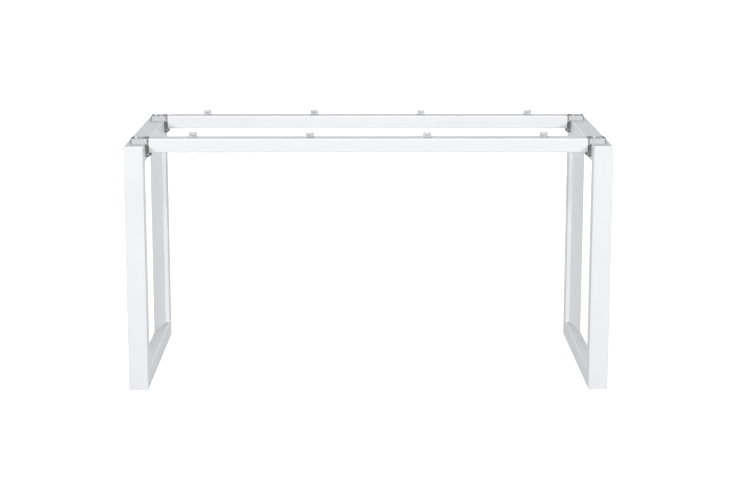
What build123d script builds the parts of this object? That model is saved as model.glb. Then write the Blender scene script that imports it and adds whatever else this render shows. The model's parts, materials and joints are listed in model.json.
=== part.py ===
from build123d import *
import os

os.makedirs("parts", exist_ok=True)

# A desk frame of two closed tube loops, standing left and right, joined near the
# top by a front beam and a rear beam. Millimetres. The origin is on the floor under
# the middle of the frame, +X to the right, +Y to the rear, +Z up.

# Overall size of the frame, over the legs and from the floor to the leg tops
frame_width = 1360.0
frame_depth = 660.0
leg_height = 700.0

# Leg tube. Its section is a rectangle with the outer inside corner sloped off, so
# that the inside of the loop shows a long chamfer and a narrow flat band.
leg_tube_width = 55.0
leg_tube_depth = 52.0
leg_band = 13.0
leg_outer_side = 9.0
leg_wall = 2.0
leg_edge_radius = 3.0

# Beams
beam_height = 40.0
beam_depth = 60.0
beam_wall = 2.0
beam_edge_radius = 4.0
beam_rise = 15.5
beam_setback = 44.0
beam_end_ease = 1.0

# Cast brackets between the beams and the legs
bracket_depth = 44.0
arm_inset = 15.0
arm_corner_radius = 5.0
arm_shoulder_drop = 6.0
arm_pocket_depth = 3.6
arm_rim = 2.5
neck_width = 5.5
neck_setback = 3.0
tongue_thickness = 12.0
tongue_depth = 30.0
tongue_drop = 38.5
tongue_corner_radius = 6.0
tongue_toe_radius = 3.5
cast_edge_radius = 1.2
spigot_length = 50.0
spigot_wall = 4.0
spigot_rib = 5.0
spigot_clearance = 0.3
spigot_lead = 2.0

# Bracket bolt, a button head bolt through the tongue into the leg
bolt_thread = 6.0
bolt_length = 26.0
bolt_head_width = 10.5
bolt_head_height = 3.3
bolt_socket = 4.0
bolt_socket_depth = 2.0
bolt_drop = 30.5

# Arm screws, two low round head screws down through each arm into the leg, set on
# a diagonal. One keeps its distance from the leg's inner side, the other from the
# arm's outer end.
arm_screw_thread = 6.0
arm_screw_length = 24.0
arm_screw_head_width = 11.0
arm_screw_head_height = 3.3
arm_screw_socket = 4.0
arm_screw_socket_depth = 1.9
arm_screw_inner_gap = 10.0
arm_screw_outer_gap = 12.0
arm_screw_offset = 11.0

# Blind rivet nuts in the leg wall
nut_wall = 1.5
nut_flange_reach = 1.6
nut_flange_height = 0.8
nut_length = 16.0
nut_bulge_reach = 1.1
nut_bulge_length = 4.0

# Spigot screw, countersunk into the underside of the beam
spigot_screw_thread = 6.0
spigot_screw_length = 14.0
spigot_screw_head_width = 12.0
spigot_screw_head_rim = 0.4
spigot_screw_socket = 4.0
spigot_screw_socket_depth = 1.8
spigot_screw_inset = 22.0
spigot_boss_width = 13.0

# Spacer pads on the beams, and the countersunk screws that hold them
pad_width = 25.0
pad_top_width = 24.4
pad_height = 14.5
pad_edge_radius = 1.2
pad_recess_width = 14.0
pad_seat_height = 7.5
pad_end_inset = 121.0
pad_screw_thread = 5.0
pad_screw_length = 20.0
pad_screw_head_width = 10.0
pad_screw_head_rim = 0.5
pad_screw_socket = 3.0
pad_screw_socket_depth = 1.5

# Glides under the leg loops
glide_width = 32.0
glide_thickness = 2.0
glide_edge_radius = 0.8
glide_stem_width = 8.0
glide_stem_length = 9.0
glide_barb_reach = 0.5
glide_barb_length = 3.0
glide_end_inset = 34.0

# Clearances
bolt_clearance = 0.5
thread_clearance = 0.05
seat_clearance = 0.1
nut_clearance = 0.1
nut_relief = 0.4

outer_x = frame_width / 2
inner_x = outer_x - leg_tube_width
beam_end_x = inner_x - tongue_thickness
beam_top_z = leg_height + beam_rise
beam_bottom_z = beam_top_z - beam_height
beam_y = -frame_depth / 2 + beam_setback + beam_depth / 2
tongue_bottom_z = leg_height - tongue_drop
bolt_z = leg_height - bolt_drop
arm_outer_x = outer_x - arm_inset
arm_screw_places = (
    (inner_x + arm_screw_inner_gap, beam_y - arm_screw_offset),
    (arm_outer_x - arm_screw_outer_gap, beam_y + arm_screw_offset),
)
arm_floor_z = beam_top_z - arm_pocket_depth
leg_bottom_z = glide_thickness
glide_x = outer_x - leg_tube_width / 2
spigot_screw_x = beam_end_x - spigot_screw_inset
pad_outer_x = beam_end_x - pad_end_inset
pad_places = (-pad_outer_x, -pad_outer_x / 3, pad_outer_x / 3, pad_outer_x)


def block(x0, x1, y0, y1, z0, z1):
    middle = Pos((x0 + x1) / 2, (y0 + y1) / 2, (z0 + z1) / 2)
    return middle * Box(abs(x1 - x0), abs(y1 - y0), abs(z1 - z0))


def rod(start, direction, length, width):
    place = Plane(origin=start, z_dir=direction)
    return place * Cylinder(width / 2, length, align=(Align.CENTER, Align.CENTER, Align.MIN))


def turned(points):
    return revolve(make_face(Plane.XZ * Polyline(*points, close=True)), Axis.Z)


def placed(shape, start, direction):
    return Plane(origin=start, z_dir=direction) * shape


def hex_socket(width, depth, top_z):
    section = RegularPolygon(width / 2, 6, major_radius=False)
    return Pos(0, 0, top_z - depth) * extrude(section, depth)


def save(name, shape):
    solids = shape.solids()
    shape = solids[0] if len(solids) == 1 else Compound(children=solids)
    shape.label = name
    export_step(shape, "parts/" + name + ".step")


def mirrored(shape, side, end):
    # side -1 is left, +1 is right; end -1 is the front, +1 is the rear
    if side > 0:
        shape = mirror(shape, about=Plane.YZ)
    if end > 0:
        shape = mirror(shape, about=Plane.XZ)
    return shape


# All four brackets are the same casting: the right-hand ones are turned half round,
# and the rear ones are moved back from the front ones
def cornered(shape, side, end):
    if side > 0:
        shape = Pos(0, 2 * beam_y, 0) * shape.rotate(Axis.Z, 180)
    if end > 0:
        shape = Pos(0, -2 * beam_y, 0) * shape
    return shape


# The leg tube's section, u from the outer side of the frame inwards and v from the
# outside of the loop inwards
def leg_section():
    outline = make_face(Polyline(
        (0, 0),
        (leg_tube_width, 0),
        (leg_tube_width, leg_tube_depth),
        (leg_tube_width - leg_band, leg_tube_depth),
        (0, leg_outer_side),
        close=True,
    ))
    outline = fillet(outline.vertices(), leg_edge_radius)
    return outline - offset(outline, amount=-leg_wall)


# A straight tube of a loop, both ends mitred at 45 degrees
def mitred_tube(start, axis, length):
    place = Plane(origin=start, x_dir=(1, 0, 0), z_dir=axis)
    tube = extrude(place * leg_section(), length)
    reach = leg_tube_depth + 10
    side_view = Plane(origin=start, x_dir=axis, z_dir=Vector(axis).cross(place.y_dir))
    trapezium = make_face(side_view * Polyline(
        (0, 0), (length, 0), (length - reach, reach), (reach, reach), close=True,
    ))
    return tube & extrude(trapezium, 2 * leg_tube_width, both=True)


def nut_body_width(thread):
    return thread + 2 * nut_wall


# A blind rivet nut, its flange's top at z=0 and its body going down
def rivet_nut(thread):
    body = nut_body_width(thread) / 2
    flange = body + nut_flange_reach
    bulge = body + nut_bulge_reach
    bore = (thread + 2 * thread_clearance) / 2
    under = -nut_flange_height
    grip = under - leg_wall
    return turned([
        (bore, 0),
        (flange, 0),
        (flange, under),
        (body, under),
        (body, grip),
        (bulge, grip - 0.7),
        (bulge, grip - nut_bulge_length + 0.7),
        (body, grip - nut_bulge_length),
        (body, -nut_length),
        (bore, -nut_length),
    ])


# A button head bolt, the underside of its head at z=0 and its shank going down
def button_bolt(thread, length, head_width, head_height, socket, socket_depth):
    top = head_width * 0.24
    dome = ThreePointArc((head_width / 2, 0.8), (head_width * 0.41, head_height * 0.74), (top, head_height))
    shank = Polyline(
        (top, head_height), (0, head_height), (0, -length), (thread / 2 - 0.8, -length),
        (thread / 2, -length + 0.8), (thread / 2, 0), (head_width / 2 - 0.3, 0), (head_width / 2, 0.8),
    )
    bolt = revolve(make_face(Plane.XZ * Curve([dome, *shank.edges()])), Axis.Z)
    return bolt - hex_socket(socket, socket_depth, head_height)


# A countersunk screw with a 90 degree head, the head's face at z=0
def countersunk_screw(thread, length, head_width, rim, socket, socket_depth):
    cone = (head_width - thread) / 2
    screw = turned([
        (0, 0),
        (head_width / 2, 0),
        (head_width / 2, -rim),
        (thread / 2, -rim - cone),
        (thread / 2, -length + 1.0),
        (thread / 2 - 1.0, -length),
        (0, -length),
    ])
    return screw - hex_socket(socket, socket_depth, 0)


# The space that a countersunk head takes, with the seat's clearance around it
def countersink(head_width, rim, hole_width):
    wide = head_width / 2 + seat_clearance
    narrow = hole_width / 2
    floor = -rim - (wide - narrow)
    return turned([(0, 0.5), (wide, 0.5), (wide, -rim), (narrow, floor), (0, floor)])


# Leg loops
def leg_loop(side):
    low, high = leg_bottom_z, leg_height
    front, rear = -frame_depth / 2, frame_depth / 2
    tubes = {
        "front_post": mitred_tube((-outer_x, front, low), (0, 0, 1), high - low),
        "rear_post": mitred_tube((-outer_x, rear, high), (0, 0, -1), high - low),
        "top_bar": mitred_tube((-outer_x, front, high), (0, 1, 0), frame_depth),
        "bottom_bar": mitred_tube((-outer_x, rear, low), (0, -1, 0), frame_depth),
    }
    bolt_hole = nut_body_width(bolt_thread) + 2 * nut_clearance
    screw_hole = nut_body_width(arm_screw_thread) + 2 * nut_clearance
    for end in (-1, 1):
        tubes["top_bar"] -= rod((-inner_x + 1, -end * beam_y, bolt_z), (-1, 0, 0), leg_wall + 2, bolt_hole)
        for x, y in arm_screw_places:
            drill = cornered(rod((-x, y, high + 1), (0, 0, -1), leg_wall + 2, screw_hole), side, end)
            tubes["top_bar"] -= mirror(drill, about=Plane.YZ) if side > 0 else drill
    for y in (front + glide_end_inset, rear - glide_end_inset):
        foot = (-glide_x, y, low - 1)
        tubes["bottom_bar"] -= rod(foot, (0, 0, 1), leg_wall + 2, glide_stem_width)
    name = "left_leg_" if side < 0 else "right_leg_"
    for part, tube in tubes.items():
        save(name + part, mirrored(tube, side, -1))


# A beam is a rounded box tube with screw holes for its pads and for its spigots
def beam(end):
    outline = RectangleRounded(beam_depth, beam_height, beam_edge_radius)
    inside = RectangleRounded(
        beam_depth - 2 * beam_wall, beam_height - 2 * beam_wall, beam_edge_radius - beam_wall
    )
    start = Plane(origin=(-beam_end_x, beam_y, beam_top_z - beam_height / 2), x_dir=(0, 1, 0), z_dir=(1, 0, 0))
    tube = extrude(start * (outline - inside), 2 * beam_end_x)
    hole = pad_screw_thread + 2 * thread_clearance
    for x in pad_places:
        tube -= rod((x, beam_y, beam_top_z + 1), (0, 0, -1), beam_wall + 2, hole)
    sink = countersink(spigot_screw_head_width, spigot_screw_head_rim, spigot_screw_thread)
    for x in (-spigot_screw_x, spigot_screw_x):
        tube -= placed(sink, (x, beam_y, beam_bottom_z), (0, 0, -1))
    for end_face in (tube.faces().sort_by(Axis.X)[0], tube.faces().sort_by(Axis.X)[-1]):
        tube = chamfer(end_face.outer_wire().edges(), beam_end_ease)
    return mirrored(tube, -1, end)


# A block across the beam's middle line, seen from the front as the outline given
def across(outline, depth):
    side_view = Plane(origin=(0, beam_y + depth / 2, 0), x_dir=(1, 0, 0), z_dir=(0, -1, 0))
    return extrude(make_face(side_view * Polyline(*outline, close=True)), depth)


# A bracket is one casting: an arm lying on the leg, a narrower tongue hanging down
# the leg's inner side, and a ribbed hollow spigot that the beam slides over
def bracket():
    arm = across([
        (-arm_outer_x, leg_height),
        (-inner_x, leg_height),
        (-beam_end_x, leg_height - arm_shoulder_drop),
        (-beam_end_x, beam_top_z),
        (-arm_outer_x, beam_top_z),
    ], bracket_depth)
    arm = fillet(arm.edges().filter_by(Axis.Z).group_by(Axis.X)[0], arm_corner_radius)
    rim = arm.faces().sort_by(Axis.Z)[-1].edges().sort_by(Axis.X)[:-1]
    arm = fillet(rim, cast_edge_radius)
    neck = across([
        (-beam_end_x - neck_width, leg_height - arm_shoulder_drop - 1),
        (-beam_end_x + 1, leg_height - arm_shoulder_drop - 1),
        (-beam_end_x + 1, beam_top_z + 1),
        (-beam_end_x - neck_width, beam_top_z + 1),
    ], bracket_depth + 2)
    neck -= block(
        -beam_end_x - neck_width - 1, -beam_end_x + 2,
        beam_y - bracket_depth / 2 + neck_setback, beam_y + bracket_depth / 2 - neck_setback,
        leg_height - arm_shoulder_drop - 2, beam_top_z - neck_setback / 2,
    )
    arm -= neck
    pocket = block(
        -arm_outer_x + arm_rim, -inner_x - arm_rim,
        beam_y - bracket_depth / 2 + arm_rim, beam_y + bracket_depth / 2 - arm_rim,
        arm_floor_z, beam_top_z + 1,
    )
    arm -= fillet(pocket.edges().filter_by(Axis.Z), arm_corner_radius - arm_rim)

    tongue = across([
        (-inner_x, leg_height + 1),
        (-inner_x, tongue_bottom_z),
        (-beam_end_x, tongue_bottom_z),
        (-beam_end_x, leg_height + 1),
    ], tongue_depth)
    toe = tongue.edges().filter_by(Axis.Y).group_by(Axis.Z)[0].sort_by(Axis.X)[-1]
    tongue = fillet(toe, tongue_toe_radius)
    tongue = fillet(tongue.edges().filter_by(Axis.X).group_by(Axis.Z)[0], tongue_corner_radius)
    body = arm + tongue

    half_y = beam_depth / 2 - beam_wall - spigot_clearance
    half_z = beam_height / 2 - beam_wall - spigot_clearance
    corner = beam_edge_radius - beam_wall
    axis_z = beam_top_z - beam_height / 2
    section = Plane(origin=(-beam_end_x, beam_y, axis_z), x_dir=(0, 1, 0), z_dir=(1, 0, 0))
    spigot = extrude(section * RectangleRounded(2 * half_y, 2 * half_z, corner), spigot_length)
    lead = spigot.faces().sort_by(Axis.X)[-1].edges()
    spigot = chamfer(lead, spigot_lead / 2, spigot_lead * 0.4)
    cells = block(
        -beam_end_x + spigot_wall, -beam_end_x + spigot_length + 1,
        beam_y - half_y + spigot_wall, beam_y + half_y - spigot_wall,
        axis_z - half_z + spigot_wall, axis_z + half_z - spigot_wall,
    )
    cells -= block(
        -beam_end_x, -beam_end_x + spigot_length + 1,
        beam_y - spigot_rib / 2, beam_y + spigot_rib / 2,
        axis_z - half_z, axis_z + half_z,
    )
    boss = rod((-spigot_screw_x, beam_y, beam_bottom_z), (0, 0, 1), beam_height / 2, spigot_boss_width)
    body += spigot - (cells - boss)

    drilled = spigot_screw_thread + 2 * thread_clearance
    depth = beam_wall + spigot_screw_length
    body -= rod((-spigot_screw_x, beam_y, beam_bottom_z), (0, 0, 1), depth, drilled)
    sink = countersink(spigot_screw_head_width, spigot_screw_head_rim, spigot_screw_thread)
    body -= placed(sink, (-spigot_screw_x, beam_y, beam_bottom_z), (0, 0, -1))

    bolt_hole = bolt_thread + 2 * bolt_clearance
    bolt_relief = nut_body_width(bolt_thread) + 2 * nut_flange_reach + 2 * nut_relief
    body -= rod((-beam_end_x + 1, beam_y, bolt_z), (-1, 0, 0), tongue_thickness + 2, bolt_hole)
    body -= rod((-inner_x, beam_y, bolt_z), (1, 0, 0), nut_flange_height + nut_relief, bolt_relief)
    screw_hole = arm_screw_thread + 2 * bolt_clearance
    screw_relief = nut_body_width(arm_screw_thread) + 2 * nut_flange_reach + 2 * nut_relief
    for x, y in arm_screw_places:
        body -= rod((-x, y, leg_height - 1), (0, 0, 1), beam_rise + 2, screw_hole)
        body -= rod((-x, y, leg_height), (0, 0, 1), nut_flange_height + nut_relief, screw_relief)
    return body


# A spacer pad: a soft tapered disc, recessed so that its screw sits low inside
def pad():
    seat = countersink(pad_screw_head_width, pad_screw_head_rim, pad_screw_thread)
    body = turned([
        (0, 0),
        (pad_width / 2 - 0.4, 0),
        (pad_width / 2, 0.4),
        (pad_top_width / 2, pad_height),
        (0, pad_height),
    ])
    top = body.faces().sort_by(Axis.Z)[-1].edges()
    body = fillet(top, pad_edge_radius)
    body -= Pos(0, 0, pad_seat_height) * Cylinder(
        pad_recess_width / 2, pad_height, align=(Align.CENTER, Align.CENTER, Align.MIN)
    )
    body -= Pos(0, 0, pad_seat_height) * seat
    return body - rod((0, 0, -1), (0, 0, 1), pad_height, pad_screw_thread + 2 * thread_clearance)


# A glide: a flat disc under the leg with a barbed stem pressed into the tube
def glide():
    disc = glide_width / 2
    stem = glide_stem_width / 2
    barb = stem + glide_barb_reach
    wall_top = glide_thickness + leg_wall
    tip = glide_thickness + glide_stem_length
    body = turned([
        (0, 0),
        (disc, 0),
        (disc, glide_thickness),
        (stem, glide_thickness),
        (stem, wall_top),
        (barb, wall_top + 0.3),
        (barb, wall_top + glide_barb_length * 0.4),
        (stem - 0.8, tip),
        (0, tip),
    ])
    rim = body.edges().filter_by(GeomType.CIRCLE).group_by(Axis.Z)[0].sort_by(SortBy.RADIUS)[-1]
    return fillet(rim, glide_edge_radius)


leg_loop(-1)
leg_loop(1)
save("front_beam", beam(-1))
save("rear_beam", beam(1))

bracket_shape = bracket()
bolt_shape = button_bolt(
    bolt_thread, bolt_length, bolt_head_width, bolt_head_height, bolt_socket, bolt_socket_depth
)
bolt_shape = placed(bolt_shape, (-beam_end_x, beam_y, bolt_z), (1, 0, 0))
bolt_nut_shape = placed(rivet_nut(bolt_thread), (-inner_x + nut_flange_height, beam_y, bolt_z), (1, 0, 0))
arm_screw_shape = button_bolt(
    arm_screw_thread, arm_screw_length, arm_screw_head_width, arm_screw_head_height,
    arm_screw_socket, arm_screw_socket_depth,
)
arm_screws = [Pos(-x, y, arm_floor_z) * arm_screw_shape for x, y in arm_screw_places]
arm_nut_shape = rivet_nut(arm_screw_thread)
arm_nuts = [Pos(-x, y, leg_height + nut_flange_height) * arm_nut_shape for x, y in arm_screw_places]
spigot_screw_shape = countersunk_screw(
    spigot_screw_thread, spigot_screw_length, spigot_screw_head_width, spigot_screw_head_rim,
    spigot_screw_socket, spigot_screw_socket_depth,
)
spigot_screw_shape = placed(spigot_screw_shape, (-spigot_screw_x, beam_y, beam_bottom_z), (0, 0, -1))
glide_shape = Pos(-glide_x, -frame_depth / 2 + glide_end_inset, 0) * glide()

for side, side_name in ((-1, "left"), (1, "right")):
    for end, end_name in ((-1, "front"), (1, "rear")):
        corner_name = "_" + end_name + "_" + side_name
        save("bracket" + corner_name, cornered(bracket_shape, side, end))
        save("bracket_bolt" + corner_name, mirrored(bolt_shape, side, end))
        save("bolt_nut" + corner_name, mirrored(bolt_nut_shape, side, end))
        save("arm_screws" + corner_name, Compound(children=[cornered(s, side, end) for s in arm_screws]))
        save("arm_nuts" + corner_name, Compound(children=[cornered(n, side, end) for n in arm_nuts]))
        save("spigot_screw" + corner_name, mirrored(spigot_screw_shape, side, end))
        save("glide" + corner_name, mirrored(glide_shape, side, end))

pad_shape = pad()
pad_screw_shape = countersunk_screw(
    pad_screw_thread, pad_screw_length, pad_screw_head_width, pad_screw_head_rim,
    pad_screw_socket, pad_screw_socket_depth,
)
for end_name, y in (("front", beam_y), ("rear", -beam_y)):
    for number, x in enumerate(pad_places, start=1):
        pad_name = "_" + end_name + "_" + str(number)
        save("pad" + pad_name, Pos(x, y, beam_top_z) * pad_shape)
        save("pad_screw" + pad_name, Pos(x, y, beam_top_z + pad_seat_height) * pad_screw_shape)
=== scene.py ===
import json
import math
import bpy
import bmesh
from mathutils import Matrix, Vector


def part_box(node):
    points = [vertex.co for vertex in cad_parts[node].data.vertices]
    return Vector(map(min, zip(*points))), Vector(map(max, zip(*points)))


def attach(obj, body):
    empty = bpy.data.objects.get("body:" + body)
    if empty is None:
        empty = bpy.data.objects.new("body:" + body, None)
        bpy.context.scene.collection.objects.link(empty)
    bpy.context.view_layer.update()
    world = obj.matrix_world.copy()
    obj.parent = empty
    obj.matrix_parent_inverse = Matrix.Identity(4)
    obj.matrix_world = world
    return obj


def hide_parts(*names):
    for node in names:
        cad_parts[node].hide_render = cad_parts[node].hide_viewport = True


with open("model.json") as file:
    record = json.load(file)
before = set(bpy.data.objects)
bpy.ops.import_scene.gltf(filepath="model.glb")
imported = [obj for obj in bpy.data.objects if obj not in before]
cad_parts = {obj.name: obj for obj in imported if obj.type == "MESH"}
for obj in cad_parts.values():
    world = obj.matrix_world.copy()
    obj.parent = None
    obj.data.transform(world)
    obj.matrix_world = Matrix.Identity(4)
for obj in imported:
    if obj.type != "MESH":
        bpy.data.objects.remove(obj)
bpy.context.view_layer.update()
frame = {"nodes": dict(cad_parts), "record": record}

scene = bpy.context.scene
print("desk frame: packed model loaded,", len(frame["nodes"]), "nodes")

nodeGap = 190  # room for each node in the node editor


def feed(tree, value, socket):
    # another node's socket is linked, a plain number or colour is set
    if isinstance(value, bpy.types.NodeSocket):
        tree.links.new(value, socket)
    else:
        socket.default_value = value


def addNode(tree, kind, settings=None, inputs=None):
    node = tree.nodes.new(kind)
    node.location = (nodeGap * len(tree.nodes), 0)
    for name, value in (settings or {}).items():
        setattr(node, name, value)
    for name, value in (inputs or {}).items():
        feed(tree, value, node.inputs[name])
    return node


def emptyTree(holder):
    holder.use_nodes = True
    holder.node_tree.nodes.clear()
    return holder.node_tree


def newMaterial(name):
    material = bpy.data.materials.new(name)
    tree = emptyTree(material)
    shader = addNode(tree, "ShaderNodeBsdfPrincipled")
    addNode(tree, "ShaderNodeOutputMaterial", inputs={"Surface": shader.outputs["BSDF"]})
    place = addNode(tree, "ShaderNodeTexCoord").outputs["Object"]
    return material, tree, shader.inputs, place


def noise(tree, place, scale, detail, roughness):
    node = addNode(tree, "ShaderNodeTexNoise", inputs={
        "Vector": place, "Scale": scale, "Detail": detail, "Roughness": roughness,
    })
    return node.outputs["Fac"]


def colourBetween(tree, factor, low, high, start=0.35, end=0.65):
    ramp = addNode(tree, "ShaderNodeValToRGB", inputs={"Fac": factor})
    for stop, position, colour in zip(ramp.color_ramp.elements, (start, end), (low, high)):
        stop.position = position
        stop.color = (*colour, 1)
    return ramp.outputs["Color"]


def valueBetween(tree, factor, low, high, start=0.3, end=0.7):
    node = addNode(tree, "ShaderNodeMapRange", inputs={
        "Value": factor, "From Min": start, "From Max": end, "To Min": low, "To Max": high,
    })
    return node.outputs["Result"]


def calculate(tree, operation, *values):
    inputs = dict(enumerate(values))
    return addNode(tree, "ShaderNodeMath", {"operation": operation}, inputs).outputs["Value"]


def mix(tree, kind, factor, low, high):
    # kind is VALUE for numbers or RGBA for colours
    dataType = "FLOAT" if kind == "VALUE" else kind
    node = addNode(tree, "ShaderNodeMix", {"data_type": dataType}, {0: factor})
    ends = [end for end in node.inputs if end.type == kind and end.name in ("A", "B")]
    feed(tree, low, ends[0])
    feed(tree, high, ends[1])
    return next(result for result in node.outputs if result.type == kind)


def partsOf(tree, vector):
    return addNode(tree, "ShaderNodeSeparateXYZ", inputs={"Vector": vector}).outputs


def faceWay(tree):
    return partsOf(tree, addNode(tree, "ShaderNodeNewGeometry").outputs["True Normal"])


def bumpFrom(tree, height, distance, under=None):
    node = addNode(tree, "ShaderNodeBump", inputs={"Height": height, "Distance": distance})
    if under:
        feed(tree, under, node.inputs["Normal"])
    return node.outputs["Normal"]


powderCoat = {
    "paint": (0.80, 0.81, 0.822),
    "paintThin": (0.775, 0.785, 0.80),  # where the coat lies a little thinner
    "paintedEdgeHighlight": (0.93, 0.935, 0.94),  # painted highlight along the rounded upper edges
    "edgeSlope": (0.15, 0.97),  # which part of an edge gets the painted highlight, from nearly upright to flat
    "outwardLimit": 0.001,  # an edge that looks further away from the middle gets no painted highlight
    "cloud": (7.0, 3.0, 0.55),  # each noise by its scale, detail and roughness
    "fleck": (240.0, 2.0, 0.6),
    "roughness": (0.42, 0.54),
    "specular": 0.07,
    "peel": (620.0, 1.0, 0.4),  # orange peel, about 1.6 mm from crest to crest
    "peelDepth": 0.000030,
    "swell": (173.6, 1.0, 0.4),  # the longer waves under the peel
    "swellDepth": 0.000066,
}


def onUpperEdge(tree, place):
    # 1 on rounded edges that look up and not away from the frame's middle, else 0: where the
    # painted highlight goes
    low, high = powderCoat["edgeSlope"]
    way = faceWay(tree)
    outward = calculate(tree, "MULTIPLY", partsOf(tree, place)["X"], way["X"])
    inward = calculate(tree, "LESS_THAN", outward, powderCoat["outwardLimit"])
    raised = calculate(tree, "GREATER_THAN", way["Z"], low)
    notFlat = calculate(tree, "LESS_THAN", way["Z"], high)
    return calculate(tree, "MULTIPLY", calculate(tree, "MULTIPLY", raised, notFlat), inward)


def makePowderCoat():
    coat = powderCoat
    material, tree, shader, place = newMaterial("whitePowderCoat")
    cloud = noise(tree, place, *coat["cloud"])
    paint = colourBetween(tree, cloud, coat["paintThin"], coat["paint"])
    # a painted highlight along the rounded upper edges, lighter than the paint
    edgeHighlight = onUpperEdge(tree, place)
    feed(tree, mix(tree, "RGBA", edgeHighlight, paint, (*coat["paintedEdgeHighlight"], 1)), shader["Base Color"])
    fleck = noise(tree, place, *coat["fleck"])
    feed(tree, valueBetween(tree, fleck, *coat["roughness"]), shader["Roughness"])
    peel = noise(tree, place, *coat["peel"])
    swell = bumpFrom(tree, noise(tree, place, *coat["swell"]), coat["swellDepth"])
    feed(tree, bumpFrom(tree, peel, coat["peelDepth"], under=swell), shader["Normal"])
    shader["Specular IOR Level"].default_value = coat["specular"]
    return material


castAlloy = {
    "paintedLitFace": ((0.46, 0.465, 0.47), (0.63, 0.635, 0.64)),  # the arm's front and rear faces, made lighter as painted light
    "tongueShade": ((0.27, 0.275, 0.28), (0.45, 0.455, 0.46)),  # painted shade on the same two sides further down, in the recess between leg and beam
    "skin": ((0.13, 0.133, 0.137), (0.235, 0.24, 0.245)),  # painted shade on every other face: the tops, the sides and the rounded edges
    "recessShadeBelow": 0.6945,  # height below which the two faces get the painted recess shade
    "paintedLitFacing": 0.90,  # how squarely a face must look to the front or the rear to get the painted light; the rest gets painted shade
    "neckReach": 0.632,  # nearer the middle than this, every upright face gets the painted light
    "cloud": (210.0, 4.0, 0.7),
    "grain": (1500.0, 3.0, 0.7),  # blasted, well under a millimetre
    "grainDepth": 0.00005,
    "pits": (300.0, 2.0, 0.5),
    "pitDepth": 0.00007,
    "roughness": (0.46, 0.62),
    "metal": 0.22,
    "specular": 0.15,
}


def makeCastAlloy():
    cast = castAlloy
    material, tree, shader, place = newMaterial("castAlloy")
    cloud = noise(tree, place, *cast["cloud"])
    # three painted tones: light on the front and rear faces, shade on the tongue lower down, and
    # shade on every other face
    paintedLitFace, tongueShade, skin = [
        colourBetween(tree, cloud, *cast[tone]) for tone in ("paintedLitFace", "tongueShade", "skin")
    ]
    where, way = partsOf(tree, place), faceWay(tree)
    upright = calculate(tree, "SUBTRACT", 1.0, calculate(tree, "ABSOLUTE", way["Z"]))
    fromMiddle = calculate(tree, "ABSOLUTE", where["X"])
    # on the neck, nearer the middle, every upright face gets the painted light
    onArm = calculate(tree, "GREATER_THAN", fromMiddle, cast["neckReach"])
    flatness = mix(tree, "VALUE", onArm, upright, calculate(tree, "ABSOLUTE", way["Y"]))
    squarely = calculate(tree, "GREATER_THAN", flatness, cast["paintedLitFacing"])
    # below this height the front and rear faces get painted shade, as in the recess between leg
    # and beam
    high = calculate(tree, "GREATER_THAN", where["Z"], cast["recessShadeBelow"])
    faces = mix(tree, "RGBA", high, tongueShade, paintedLitFace)
    # faces that do not look squarely to the front or the rear get the dark painted shade
    feed(tree, mix(tree, "RGBA", squarely, skin, faces), shader["Base Color"])
    grain = noise(tree, place, *cast["grain"])
    feed(tree, valueBetween(tree, grain, *cast["roughness"]), shader["Roughness"])
    dents = bumpFrom(tree, noise(tree, place, *cast["pits"]), cast["pitDepth"])
    feed(tree, bumpFrom(tree, grain, cast["grainDepth"], under=dents), shader["Normal"])
    shader["Metallic"].default_value = cast["metal"]
    shader["Specular IOR Level"].default_value = cast["specular"]
    return material


plating = {
    "cloud": (260.0, 3.0, 0.6),
    "marks": (2600.0, 2.0, 0.5),  # fine turning marks
    "markDepth": 0.00001,
    "smoother": 0.06,  # how far the marks take the roughness down and up
    "rougher": 0.08,
}
platingTones = {  # dark and light tone, roughness, how metallic
    "blackZinc": ((0.016, 0.016, 0.018), (0.030, 0.030, 0.032), 0.36, 0.60),
    "brightZinc": ((0.56, 0.57, 0.59), (0.66, 0.67, 0.68), 0.30, 0.95),
    "brownishZinc": ((0.17, 0.14, 0.12), (0.24, 0.20, 0.165), 0.42, 0.85),
}


def makePlating(name):
    # plated steel: faint clouds in the plating and fine turning marks
    dark, light, rough, metal = platingTones[name]
    material, tree, shader, place = newMaterial(name)
    cloud = noise(tree, place, *plating["cloud"])
    feed(tree, colourBetween(tree, cloud, dark, light), shader["Base Color"])
    marks = noise(tree, place, *plating["marks"])
    smoothest, roughest = rough - plating["smoother"], rough + plating["rougher"]
    feed(tree, valueBetween(tree, marks, smoothest, roughest), shader["Roughness"])
    feed(tree, bumpFrom(tree, marks, plating["markDepth"]), shader["Normal"])
    shader["Metallic"].default_value = metal
    return material


softPad = {
    "clear": (0.84, 0.85, 0.87),
    "milky": (0.78, 0.79, 0.805),
    "haze": (130.0, 3.0, 0.6),
    "skin": (900.0, 2.0, 0.5),
    "skinDepth": 0.00003,
    "roughness": (0.24, 0.38),
    "transmission": 0.64,
    "refraction": 1.41,
}


def makeSoftPad():
    material, tree, shader, place = newMaterial("milkySoftPad")
    haze = noise(tree, place, *softPad["haze"])
    feed(tree, colourBetween(tree, haze, softPad["milky"], softPad["clear"]), shader["Base Color"])
    skin = noise(tree, place, *softPad["skin"])
    feed(tree, valueBetween(tree, skin, *softPad["roughness"]), shader["Roughness"])
    feed(tree, bumpFrom(tree, skin, softPad["skinDepth"]), shader["Normal"])
    shader["Transmission Weight"].default_value = softPad["transmission"]
    shader["IOR"].default_value = softPad["refraction"]
    return material


nylon = {
    "dark": (0.74, 0.735, 0.72),
    "light": (0.78, 0.775, 0.76),
    "cloud": (90.0, 2.0, 0.5),
    "scuff": (700.0, 3.0, 0.6),
    "scuffDepth": 0.00004,
    "roughness": (0.42, 0.6),
}


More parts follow.
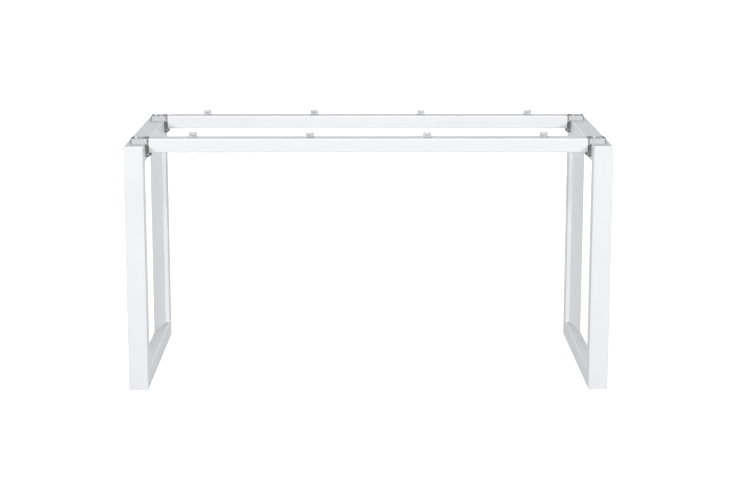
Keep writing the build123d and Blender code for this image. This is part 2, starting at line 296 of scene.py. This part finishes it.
def makeNylon():
    material, tree, shader, place = newMaterial("whiteNylon")
    cloud = noise(tree, place, *nylon["cloud"])
    feed(tree, colourBetween(tree, cloud, nylon["dark"], nylon["light"]), shader["Base Color"])
    scuff = noise(tree, place, *nylon["scuff"])
    feed(tree, valueBetween(tree, scuff, *nylon["roughness"]), shader["Roughness"])
    feed(tree, bumpFrom(tree, scuff, nylon["scuffDepth"]), shader["Normal"])
    return material


finishes = {
    "white_powder_coat": makePowderCoat(),
    "cast_metal": makeCastAlloy(),
    "black_steel": makePlating("blackZinc"),
    "zinc_steel": makePlating("brightZinc"),
    "bronze_zinc_steel": makePlating("brownishZinc"),
    "clear_rubber": makeSoftPad(),
    "white_nylon": makeNylon(),
}
nodeSlot = {entry["node"]: entry["material_slot"] for entry in frame["record"]["subparts"]}
for name, part in frame["nodes"].items():
    part.material_slots[0].material = finishes[nodeSlot[name]]
print("desk frame: finishes made,", len(finishes))


def linked(name, data):
    piece = bpy.data.objects.new(name, data)
    scene.collection.objects.link(piece)
    return piece


def mm(*values):
    return [value / 1000 for value in values] if len(values) > 1 else values[0] / 1000


def turnAt(i, count):
    return 2 * math.pi * i / count


def meshFromRings(name, rings, closedRound=False, capped=False, sharpAbove=32.0):
    # each ring is a list of points, all rings as long; neighbours are joined with quads
    mesh = bmesh.new()
    rows = [[mesh.verts.new(point) for point in ring] for ring in rings]
    count = len(rows[0])
    for low, high in zip(rows, rows[1:] + (rows[:1] if closedRound else [])):
        for i in range(count):
            j = (i + 1) % count
            mesh.faces.new((low[i], low[j], high[j], high[i]))
    for row in (rows[0], rows[-1]) if capped else ():
        middle = mesh.verts.new(sum((v.co for v in row), Vector()) / count)
        for i in range(count):
            mesh.faces.new((row[i], row[(i + 1) % count], middle))
    bmesh.ops.recalc_face_normals(mesh, faces=mesh.faces)
    data = bpy.data.meshes.new(name)
    mesh.to_mesh(data)
    mesh.free()
    data.polygons.foreach_set("use_smooth", [True] * len(data.polygons))
    data.set_sharp_from_angle(angle=math.radians(sharpAbove))
    return data


screwShape = {  # lengths in mm, the rest are shares
    "points": 48,  # round each ring
    "threadDepth": 0.54,  # of the pitch
    "crestFlat": 1.25,  # above 1, the crests are cut flat
    "rowsToPitch": 4,
    "tipLength": 0.4,
    "tipDrop": 0.5,
    "socketCone": 0.18,  # the cone at the socket's end, of its width
    "socketEnd": 0.96,
    "socketFoot": 0.15,
    "socketLip": 0.35,
    "socketMouth": 1.22,
    "coneTip": 0.2,
    "domeFlat": 0.48,  # the flat top, of half the head's width
    "domeSteps": 8,
    "domeWide": 0.96,  # below 1, the dome is fuller than a circle's quarter
    "domeHigh": 0.9,
    "domeFoot": 0.7,
    "rimLow": 0.25,
    "faceEdge": 0.2,
    "faceDrop": 0.15,
}


def circleRing(radius, height, count=screwShape["points"]):
    radius, height = mm(radius, height)
    turns = [turnAt(i, count) for i in range(count)]
    return [Vector((radius * math.cos(turn), radius * math.sin(turn), height)) for turn in turns]


def hexRing(acrossFlats, height, count=screwShape["points"]):
    acrossFlats, height = mm(acrossFlats, height)
    points = []
    for i in range(count):
        turn = turnAt(i, count)
        fromFlat = (turn + math.pi / 6) % (math.pi / 3) - math.pi / 6
        radius = acrossFlats / 2 / math.cos(fromFlat)
        turn += math.pi / 6
        points.append(Vector((radius * math.cos(turn), radius * math.sin(turn), height)))
    return points


def threadRing(outer, inner, pitch, height, count=screwShape["points"]):
    # one row of a helical thread: the crest's place turns with the height
    outer, inner, pitch, height = mm(outer, inner, pitch, height)
    points = []
    for i in range(count):
        turn = turnAt(i, count)
        crest = 1 - abs(2 * ((height / pitch - turn / (2 * math.pi)) % 1.0) - 1)
        radius = inner + (outer - inner) * min(1.0, crest * screwShape["crestFlat"])
        points.append(Vector((radius * math.cos(turn), radius * math.sin(turn), height)))
    return points


def threadedShank(size):
    # rows down the shank, ending in a small point
    shape = screwShape
    length, pitch, outer = size["length"], size["pitch"], size["thread"] / 2
    inner = outer - pitch * shape["threadDepth"]
    rows = [circleRing(outer, -size["plain"])]
    depth = size["plain"] + pitch / 2
    while depth < length - pitch:
        rows.append(threadRing(outer, inner, pitch, -depth))
        depth += pitch / shape["rowsToPitch"]
    rows.append(circleRing(inner, -length + shape["tipLength"]))
    rows.append(circleRing(inner - shape["tipDrop"], -length))
    return rows


def socketRings(size, top):
    shape, across = screwShape, size["socket"]
    end = top - size["socketDepth"]
    return [
        circleRing(shape["coneTip"], end - across * shape["socketCone"]),
        hexRing(across * shape["socketEnd"], end),
        hexRing(across, end + shape["socketFoot"]),
        hexRing(across, top - shape["socketLip"]),
        circleRing(across / 2 * shape["socketMouth"], top),
    ]


def domedHead(size):
    shape, wide, high = screwShape, size["head"] / 2, size["headHeight"]
    flat, foot = wide * shape["domeFlat"], shape["domeFoot"]
    rows = socketRings(size, high)
    for step in range(1, shape["domeSteps"] + 1):
        turn = math.radians(90 * step / shape["domeSteps"])
        rows.append(circleRing(
            flat + (wide - flat) * math.sin(turn) ** shape["domeWide"],
            foot + (high - foot) * math.cos(turn) ** shape["domeHigh"],
        ))
    rows.append(circleRing(wide, shape["rimLow"]))
    rows.append(circleRing(wide - shape["rimLow"], 0))
    rows.append(circleRing(size["thread"] / 2, 0))
    return rows


def countersunkHead(size):
    shape, wide, rim, stem = screwShape, size["head"] / 2, size["headRim"], size["thread"] / 2
    return socketRings(size, 0) + [
        circleRing(wide - shape["faceEdge"], 0),
        circleRing(wide, -shape["faceDrop"]),
        circleRing(wide, -rim),
        circleRing(stem, -rim - (wide - stem)),
    ]


def fastener(name, size):
    head = domedHead(size) if size["form"] == "domed" else countersunkHead(size)
    return meshFromRings(name, head + threadedShank(size), capped=True)


def screwPair(name, size):
    # the two screws of one arm, on a diagonal that is the same in all four corners
    pair = bmesh.new()
    single = fastener(name, size)
    for way in (1, -1):
        start = len(pair.verts)
        pair.from_mesh(single)
        pair.verts.ensure_lookup_table()
        shift = Vector(mm(way * size["pairAcross"] / 2, -way * size["pairDeep"] / 2, 0))
        bmesh.ops.translate(pair, vec=shift, verts=pair.verts[start:])
    pair.to_mesh(single)
    pair.free()
    return single


bracketBolt = {
    "form": "domed", "thread": 6.0, "pitch": 1.0, "length": 26.0, "plain": 9.0,
    "head": 10.5, "headHeight": 3.3, "socket": 4.0, "socketDepth": 2.0,
}
armScrew = {
    "form": "domed", "thread": 6.0, "pitch": 1.0, "length": 24.0, "plain": 5.0,
    "head": 11.0, "headHeight": 3.3, "socket": 4.0, "socketDepth": 1.9,
    "pairAcross": 18.0, "pairDeep": 22.0,  # how far the two screws of one arm lie apart
}
spigotScrew = {
    "form": "countersunk", "thread": 6.0, "pitch": 1.0, "length": 14.0, "plain": 3.6,
    "head": 12.0, "headRim": 0.4, "socket": 4.0, "socketDepth": 1.8,
}
padScrew = {
    "form": "countersunk", "thread": 5.0, "pitch": 0.8, "length": 20.0, "plain": 9.0,
    "head": 10.0, "headRim": 0.5, "socket": 3.0, "socketDepth": 1.5,
}

spacerPad = {
    "width": 25.0, "topWidth": 24.4, "height": 14.5, "edge": 1.2, "edgeSteps": 5,
    "recess": 14.0, "seat": 7.5, "seatWidth": 10.2, "seatRim": 0.5, "hole": 5.1,
    "foot": [(0.4, 0), (0.1, 0.12), (0, 0.4)],  # the rounded foot, inward and up
    "mouth": [(0.35, 0), (0.1, 0.12), (0, 0.4)],  # the recess's rounded mouth, outward and down
    "seatRound": 0.3,
    "bellyAt": (0.3, 0.6, 0.9), "belly": 0.044, "waist": 0.25,  # as soft plastic has
    "points": 64, "sharpAbove": 38.0,
}


def padMesh():
    size = spacerPad
    foot, top, high, edge = size["width"] / 2, size["topWidth"] / 2, size["height"], size["edge"]
    hole, seat, recess = size["hole"] / 2, size["seatWidth"] / 2, size["recess"] / 2
    seatTop, seatLow = size["seat"], size["seat"] - size["seatRim"]
    profile = [(hole, 0)] + [(foot - inward, up) for inward, up in size["foot"]]
    for part in size["bellyAt"]:
        height = part * (high - edge)
        belly = size["belly"] * math.sin(math.pi * part)
        profile.append((foot - (foot - top) * height / high - size["waist"] + belly, height))
    for step in range(size["edgeSteps"] + 1):
        turn = math.radians(90 * step / size["edgeSteps"])
        profile.append((top - edge + edge * math.cos(turn), high - edge + edge * math.sin(turn)))
    profile += [(recess + outward, high - down) for outward, down in size["mouth"]]
    profile += [
        (recess, seatTop + size["seatRound"]), (recess - size["seatRound"], seatTop),
        (seat, seatTop), (seat, seatLow), (hole, seatLow - (seat - hole)),
    ]
    rings = [circleRing(radius, height, size["points"]) for radius, height in profile]
    return meshFromRings("padUnit", rings, closedRound=True, sharpAbove=size["sharpAbove"])


glide = {
    "width": 32.0, "thickness": 2.0, "edge": 0.8, "edgeSteps": 4, "rim": 2.0,
    "stem": 8.0, "wall": 2.0, "stemLength": 9.0,
    "barb": 0.5, "barbStart": 0.3, "barbEnd": 1.2, "taper": 0.8, "points": 56,
}


def glideMesh():
    size, edge = glide, glide["edge"]
    disc, stem, thick = size["width"] / 2, size["stem"] / 2, size["thickness"]
    profile = [(disc - edge - size["rim"], 0.0), (disc - edge, 0.0)]
    for step in range(1, size["edgeSteps"] + 1):
        turn = math.radians(90 * step / size["edgeSteps"])
        profile.append((disc - edge + edge * math.sin(turn), edge - edge * math.cos(turn)))
    wallTop, barb = thick + size["wall"], stem + size["barb"]
    profile += [
        (disc, thick), (stem, thick), (stem, wallTop), (barb, wallTop + size["barbStart"]),
        (barb, wallTop + size["barbEnd"]), (stem - size["taper"], thick + size["stemLength"]),
    ]
    rings = [circleRing(radius, height, size["points"]) for radius, height in profile]
    return meshFromRings("glideUnit", rings, capped=True)


def cornerPatternTree():
    # a flat grid of points, each with a copy of the unit, turned on the right-hand side
    tree = bpy.data.node_groups.new("cornerPattern", "GeometryNodeTree")
    kinds = {
        "Unit": "Object", "Columns": "Int", "Rows": "Int", "Reach Across": "Float",
        "Reach Deep": "Float", "Height": "Float", "Turn Right Side": "Float", "Finish": "Material",
    }
    for name, kind in kinds.items():
        tree.interface.new_socket(name, in_out="INPUT", socket_type="NodeSocket" + kind)
    tree.interface.new_socket("Geometry", in_out="OUTPUT", socket_type="NodeSocketGeometry")
    given = addNode(tree, "NodeGroupInput").outputs
    grid = addNode(tree, "GeometryNodeMeshGrid", inputs={
        "Size X": given["Reach Across"], "Size Y": given["Reach Deep"],
        "Vertices X": given["Columns"], "Vertices Y": given["Rows"],
    })
    lift = addNode(tree, "ShaderNodeCombineXYZ", inputs={"Z": given["Height"]})
    raised = addNode(tree, "GeometryNodeSetPosition", inputs={
        "Geometry": grid.outputs["Mesh"], "Offset": lift.outputs["Vector"],
    })
    unit = addNode(tree, "GeometryNodeObjectInfo", inputs={"Object": given["Unit"]})
    where = partsOf(tree, addNode(tree, "GeometryNodeInputPosition").outputs["Position"])
    onRight = calculate(tree, "GREATER_THAN", where["X"], 0.0)
    turn = calculate(tree, "MULTIPLY", onRight, given["Turn Right Side"])
    spin = addNode(tree, "ShaderNodeCombineXYZ", inputs={"Z": turn})
    placed = addNode(tree, "GeometryNodeInstanceOnPoints", inputs={
        "Points": raised.outputs["Geometry"], "Instance": unit.outputs["Geometry"],
        "Rotation": spin.outputs["Vector"],
    })
    real = addNode(tree, "GeometryNodeRealizeInstances", inputs={
        "Geometry": placed.outputs["Instances"],
    })
    painted = addNode(tree, "GeometryNodeSetMaterial", inputs={
        "Geometry": real.outputs["Geometry"], "Material": given["Finish"],
    })
    addNode(tree, "NodeGroupOutput", inputs={"Geometry": painted.outputs["Geometry"]})
    return tree


patternTree = cornerPatternTree()


def setInputs(modifier, values):
    for item in modifier.node_group.interface.items_tree:
        if item.item_type == "SOCKET" and item.in_out == "INPUT" and item.name in values:
            modifier[item.identifier] = values[item.name]


def patternPiece(name, unitMesh, slotName, replaced, grid, reach, height, turnRight=0.0):
    unit = linked(name + "Unit", unitMesh)
    carrier = linked(name + "Carrier", bpy.data.meshes.new(name + "Carrier"))
    modifier = carrier.modifiers.new("pattern", "NODES")
    modifier.node_group = patternTree
    setInputs(modifier, {
        "Unit": unit, "Columns": grid[0], "Rows": grid[1], "Reach Across": reach[0],
        "Reach Deep": reach[1], "Height": height, "Turn Right Side": turnRight,
        "Finish": finishes[slotName],
    })
    bpy.context.view_layer.update()
    depsgraph = bpy.context.evaluated_depsgraph_get()
    mesh = bpy.data.meshes.new_from_object(carrier.evaluated_get(depsgraph))
    mesh.name = name
    carrier.modifiers.remove(modifier)
    for helper in (carrier, unit):
        bpy.data.objects.remove(helper)
    piece = linked(name, mesh)
    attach(piece, "root")
    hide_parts(*replaced)
    print("desk frame:", name, "made,", grid[0] * grid[1], "pieces")


def cornerNodes(start):
    ends, sides = ("front", "rear"), ("left", "right")
    return [start + "_" + end + "_" + side for end in ends for side in sides]


def beamNodes(start):
    ends, places = ("front", "rear"), range(1, 5)
    return [start + "_" + end + "_" + str(i) for end in ends for i in places]


def middleOf(node):
    low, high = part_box(node)
    return (low + high) / 2


def reachOf(node):
    # how far apart the two middles lie, of a node near one side and its match on the other
    return abs(middleOf(node).x) * 2


alongBeams, atCorners = (4, 2), (2, 2)
padReach = reachOf("pad_front_1")
beamReach = abs(middleOf("pad_front_1").y) * 2
boltReach = abs(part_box("bracket_bolt_front_left")[1].x - mm(bracketBolt["headHeight"])) * 2
glideReach = abs(middleOf("glide_front_left").y) * 2

patternPiece(
    "spacerPads", padMesh(), "clear_rubber", beamNodes("pad"),
    alongBeams, (padReach, beamReach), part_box("pad_front_1")[0].z,
)
patternPiece(
    "padScrews", fastener("padScrewUnit", padScrew), "bronze_zinc_steel", beamNodes("pad_screw"),
    alongBeams, (padReach, beamReach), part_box("pad_screw_front_1")[1].z,
)

boltMesh = fastener("bracketBoltUnit", bracketBolt)
boltMesh.transform(Matrix.Rotation(math.radians(90), 4, "Y"))
patternPiece(
    "bracketBolts", boltMesh, "black_steel", cornerNodes("bracket_bolt"),
    atCorners, (boltReach, beamReach), middleOf("bracket_bolt_front_left").z, math.pi,
)
patternPiece(
    "armScrews", screwPair("armScrewUnit", armScrew), "zinc_steel", cornerNodes("arm_screws"),
    atCorners, (reachOf("arm_screws_front_left"), beamReach),
    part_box("arm_screws_front_left")[1].z - mm(armScrew["headHeight"]),
)

spigotMesh = fastener("spigotScrewUnit", spigotScrew)
spigotMesh.transform(Matrix.Rotation(math.pi, 4, "X"))
patternPiece(
    "spigotScrews", spigotMesh, "black_steel", cornerNodes("spigot_screw"),
    atCorners, (reachOf("spigot_screw_front_left"), beamReach),
    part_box("spigot_screw_front_left")[0].z,
)
patternPiece(
    "glides", glideMesh(), "white_nylon", cornerNodes("glide"),
    atCorners, (reachOf("glide_front_left"), glideReach), 0.0,
)

legLoop = {
    "tubeWidth": 55.0,
    "tubeDepth": 52.0,
    "band": 13.0,
    "outerSide": 9.0,
    "edgeRadius": 3.0,
    "edgeSteps": 5,
    "mitreEase": 0.9,  # how far the ground welds at the mitres are eased
    "mitreSteps": 3,
    "mitreAngle": 35.0,
}


def roundedSection(points, radius, steps):
    # the section's corners as arcs, points given in order round the section
    done = []
    for i, corner in enumerate(points):
        corner = Vector(corner)
        back = (Vector(points[i - 1]) - corner).normalized()
        ahead = (Vector(points[(i + 1) % len(points)]) - corner).normalized()
        half = back.angle(ahead) / 2
        centre = corner + (back + ahead).normalized() * (radius / math.sin(half))
        first = corner + back * (radius / math.tan(half)) - centre
        last = corner + ahead * (radius / math.tan(half)) - centre
        for step in range(steps + 1):
            blend = first.lerp(last, step / steps).normalized()
            done.append(centre + blend * radius)
    return done


def makeLegLoop(name, side):
    # one section carried round the loop's four outer corners
    size, wide, deep = legLoop, legLoop["tubeWidth"], legLoop["tubeDepth"]
    section = roundedSection(
        [(0, 0), (wide, 0), (wide, deep), (wide - size["band"], deep), (0, size["outerSide"])],
        size["edgeRadius"], size["edgeSteps"],
    )
    prefix = "left_leg_" if side < 0 else "right_leg_"
    low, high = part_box(prefix + "front_post")
    outerX = low.x if side < 0 else high.x
    front, rear = [end.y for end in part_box(prefix + "top_bar")]
    corners = [
        (front, low.z, 1, 1), (rear, low.z, -1, 1), (rear, high.z, -1, -1), (front, high.z, 1, -1),
    ]
    rings = [
        [Vector((outerX - side * mm(u), y + wayY * mm(v), z + wayZ * mm(v))) for u, v in section]
        for y, z, wayY, wayZ in corners
    ]
    mesh = meshFromRings(name, rings, closedRound=True)
    mesh.materials.append(finishes["white_powder_coat"])
    piece = linked(name, mesh)
    ease = piece.modifiers.new("mitreEase", "BEVEL")
    ease.width = mm(size["mitreEase"])
    ease.segments = size["mitreSteps"]
    ease.limit_method = "ANGLE"
    ease.angle_limit = math.radians(size["mitreAngle"])
    ease.harden_normals = False
    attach(piece, "root")
    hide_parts(*[prefix + part for part in ("front_post", "rear_post", "top_bar", "bottom_bar")])
    print("desk frame:", name, "made")


makeLegLoop("leftLegLoop", -1)
makeLegLoop("rightLegLoop", 1)

stageLook = {
    "floorColour": (0.58, 0.585, 0.59),
    "floorReach": 60.0,
    "floorLift": 0.90,  # what the floor shows the camera on top of the light it gets
    "worldLight": 0.20,
    "worldColour": (0.95, 0.975, 1.0),
    "lampSize": (2.2, 1.8),
    "lampTarget": (0.0, 0.0, 0.35),
    "lamps": {  # where each one stands, and its power
        "leftSoftbox": ((-4.6, -6.3, 2.8), 324.0),
        "rightSoftbox": ((4.6, -6.3, 2.8), 324.0),
        "rearSoftbox": ((0.0, 7.0, 3.1), 325.0),
        "topSoftbox": ((0.0, 0.2, 6.0), 20.0),
    },
    "noGloss": ("rearSoftbox",),  # it lights the rear softly and leaves no glare on the tops
}


white = (1, 1, 1, 1)


def seenDirectly(tree):
    # 1 for the camera, through clear material and in gloss, 0 for soft light
    path = addNode(tree, "ShaderNodeLightPath").outputs
    seen = path["Is Camera Ray"]
    for other in ("Is Transmission Ray", "Is Glossy Ray"):
        seen = calculate(tree, "MAXIMUM", seen, path[other])
    return seen


def makeFloor():
    mesh = bpy.data.meshes.new("floor")
    reach = stageLook["floorReach"]
    corners = [(-reach, -reach, 0), (reach, -reach, 0), (reach, reach, 0), (-reach, reach, 0)]
    mesh.from_pydata(corners, [], [(0, 1, 2, 3)])
    floor = linked("floor", mesh)
    material = bpy.data.materials.new("paleFloor")
    tree = emptyTree(material)
    matt = addNode(tree, "ShaderNodeBsdfDiffuse", inputs={"Color": (*stageLook["floorColour"], 1)})
    lift = calculate(tree, "MULTIPLY", seenDirectly(tree), stageLook["floorLift"])
    glow = addNode(tree, "ShaderNodeEmission", inputs={"Color": white, "Strength": lift})
    both = addNode(tree, "ShaderNodeAddShader", inputs={
        0: matt.outputs["BSDF"], 1: glow.outputs["Emission"],
    })
    # seen from below, the floor is clear, so that the frame's underside can be looked at
    side = addNode(tree, "ShaderNodeNewGeometry")
    clear = addNode(tree, "ShaderNodeBsdfTransparent")
    shown = addNode(tree, "ShaderNodeMixShader", inputs={
        "Fac": side.outputs["Backfacing"], 1: both.outputs["Shader"], 2: clear.outputs["BSDF"],
    })
    addNode(tree, "ShaderNodeOutputMaterial", inputs={"Surface": shown.outputs["Shader"]})
    mesh.materials.append(material)


def makeWorld():
    world = bpy.data.worlds.new("paleRoom")
    scene.world = world
    tree = emptyTree(world)
    light = addNode(tree, "ShaderNodeBackground", inputs={
        "Color": (*stageLook["worldColour"], 1), "Strength": stageLook["worldLight"],
    })
    backdrop = addNode(tree, "ShaderNodeBackground", inputs={"Color": white, "Strength": 1.0})
    shown = addNode(tree, "ShaderNodeMixShader", inputs={
        "Fac": seenDirectly(tree),
        1: light.outputs["Background"], 2: backdrop.outputs["Background"],
    })
    addNode(tree, "ShaderNodeOutputWorld", inputs={"Surface": shown.outputs["Shader"]})


def makeLamp(name, place, power):
    data = bpy.data.lights.new(name, "AREA")
    data.shape = "RECTANGLE"
    data.size, data.size_y = stageLook["lampSize"]
    data.energy = power
    lamp = linked(name, data)
    lamp.location = place
    lamp.rotation_mode = "QUATERNION"
    toTarget = Vector(stageLook["lampTarget"]) - Vector(place)
    lamp.rotation_quaternion = toTarget.to_track_quat("-Z", "Y")
    lamp.visible_glossy = name not in stageLook["noGloss"]


makeFloor()
makeWorld()
for lampName, (lampPlace, lampPower) in stageLook["lamps"].items():
    makeLamp(lampName, lampPlace, lampPower)

cameraView = {
    "sensor": 36.0,
    "lens": 89.44,
    "place": (-0.0261, -5.3570, 1.4128),
    "heading": 0.296,  # degrees, turned about the vertical
    "tilt": 11.372,  # degrees below the horizon
}
cameraData = bpy.data.cameras.new("camera")
cameraData.sensor_width = cameraView["sensor"]
cameraData.lens = cameraView["lens"]
camera = linked("camera", cameraData)
camera.location = cameraView["place"]
camera.rotation_euler = (
    math.radians(90 - cameraView["tilt"]), 0, -math.radians(cameraView["heading"])
)
scene.camera = camera
scene.view_settings.view_transform = "Standard"
print("desk frame: floor, light and camera set")
